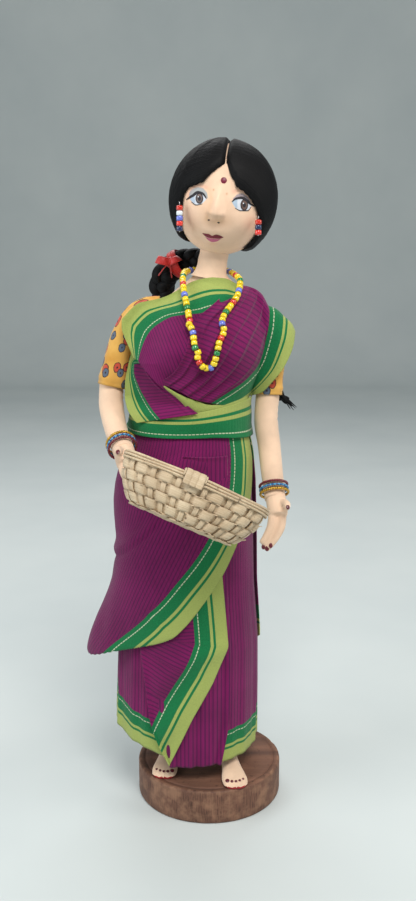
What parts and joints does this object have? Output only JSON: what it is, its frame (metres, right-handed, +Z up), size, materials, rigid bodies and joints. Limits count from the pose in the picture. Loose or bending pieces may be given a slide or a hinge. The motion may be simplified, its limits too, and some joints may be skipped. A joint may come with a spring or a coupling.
{
  "type": "sari doll figurine with basket",
  "caption": "Stuffed cloth doll of a woman in a draped sari, carrying a shallow woven basket in her hands, standing on a round wooden base.",
  "frame": {"origin": "centre of the wooden base disc's lower face", "axes": "+Z up; the doll faces -Y; +X is the doll's left side"},
  "size_m": [0.1062, 0.1193, 0.3471],
  "materials": {
    "turned_wood": "dark brown stain, satin, fine turned rings and side grain",
    "steel_wire": "plain drawn wire",
    "skin_cotton": "cream stockinette and fine cotton over stuffing, painted features",
    "hair_black": "smooth black combed fibre with a soft sheen",
    "bindi_paint": "matt maroon dot",
    "ribbon_red": "red satin ribbon",
    "bead_glass": "opaque glossy seed beads, mixed red, blue and white",
    "necklace_glass": "opaque glossy seed beads, yellow with green, red and blue ones between",
    "bead_thread": "off-white thread",
    "blouse_print": "mustard cotton printed with small coral and blue-grey leaves",
    "petticoat_cotton": "plain purple cotton",
    "sari_purple": "handloom cotton, magenta purple with fine dark pinstripes",
    "sari_green": "emerald border with a thin lime line and off-white running stitch",
    "sari_lime": "wide pale lime outer border",
    "bangle_gold": "cut gold-coloured metal",
    "bangle_blue": "glossy deep blue lacquer",
    "bangle_maroon": "glossy maroon lacquer",
    "cane": "flat undyed palm splints, over-under weave"
  },
  "bodies": {
    "root": {"base_disc": "turned_wood", "leg_wire_left": "steel_wire", "leg_wire_right": "steel_wire", "spine_wire": "steel_wire", "foot_left": "skin_cotton", "foot_right": "skin_cotton", "leg_left": "skin_cotton", "leg_right": "skin_cotton", "torso": "skin_cotton", "neck": "skin_cotton", "bodice": "blouse_print", "petticoat": "petticoat_cotton", "sari_inner_wrap": "sari_purple", "sari_outer_wrap": "sari_purple", "sari_front_pleats": "sari_green", "sari_waist_band": "sari_green", "sari_chest": "sari_purple", "sari_back_fall": "sari_purple"},
    "head": {"head": "skin_cotton", "hair_left": "hair_black", "hair_right": "hair_black", "bindi": "bindi_paint"},
    "braid": {"braid": "hair_black", "ribbon": "ribbon_red"},
    "earring_left": {"earring_left": "bead_glass"},
    "earring_right": {"earring_right": "bead_glass"},
    "necklace": {"necklace_beads": "necklace_glass", "necklace_thread": "bead_thread"},
    "arm_left": {"arm_left": "skin_cotton", "arm_wire_left": "steel_wire", "sleeve_left": "blouse_print", "hand_left": "skin_cotton", "sari_shoulder": "sari_lime"},
    "arm_right": {"arm_right": "skin_cotton", "arm_wire_right": "steel_wire", "sleeve_right": "blouse_print", "hand_right": "skin_cotton", "basket_body": "cane", "basket_outer_hoop": "cane", "basket_inner_hoop": "cane", "basket_binding": "cane"},
    "bangles_left": {"bangle_gold_left": "bangle_gold", "bangle_blue_left": "bangle_blue", "bangle_maroon_left": "bangle_maroon"},
    "bangles_right": {"bangle_gold_right": "bangle_gold", "bangle_blue_right": "bangle_blue", "bangle_maroon_right": "bangle_maroon"}
  },
  "joints": [
    {"name": "head_turn", "type": "hinge", "parent": "root", "child": "head", "pos_m": [0.0004, -0.001, 0.2805], "axis": [0.1685, 0, 0.9857], "range_deg": [-15, 15]},
    {"name": "braid_swing", "type": "hinge", "parent": "root", "child": "braid", "pos_m": [-0.003, 0.0125, 0.29], "axis": [1, 0, 0], "range_deg": [0, 25]},
    {"name": "earring_left_swing", "type": "hinge", "parent": "head", "child": "earring_left", "pos_m": [0.0233, -0.0205, 0.3085], "axis": [0, -1, 0], "range_deg": [0, 35]},
    {"name": "earring_right_swing", "type": "hinge", "parent": "head", "child": "earring_right", "pos_m": [-0.0142, -0.0195, 0.3151], "axis": [0, 1, 0], "range_deg": [0, 35]},
    {"name": "necklace_swing", "type": "hinge", "parent": "root", "child": "necklace", "pos_m": [0, 0.0095, 0.284], "axis": [-1, 0, 0], "range_deg": [0, 12]},
    {"name": "arm_right_raise", "type": "hinge", "parent": "root", "child": "arm_right", "pos_m": [-0.037, 0, 0.259], "axis": [-1, 0, 0], "range_deg": [0, 10]},
    {"name": "arm_left_raise", "type": "hinge", "parent": "root", "child": "arm_left", "pos_m": [0.0335, 0, 0.259], "axis": [-1, 0, 0], "range_deg": [0, 10]},
    {"name": "bangles_right_slide", "type": "slide", "parent": "arm_right", "child": "bangles_right", "axis": [-0.2951, 0.8431, 0.4496], "range_m": [0, 0.004]},
    {"name": "bangles_left_slide", "type": "slide", "parent": "arm_left", "child": "bangles_left", "axis": [-0.0797, 0.5794, 0.8111], "range_m": [0, 0.004]}
  ],
  "couplings": [
    {"joint": "arm_left_raise", "follows": "arm_right_raise", "ratio": 1}
  ]
}
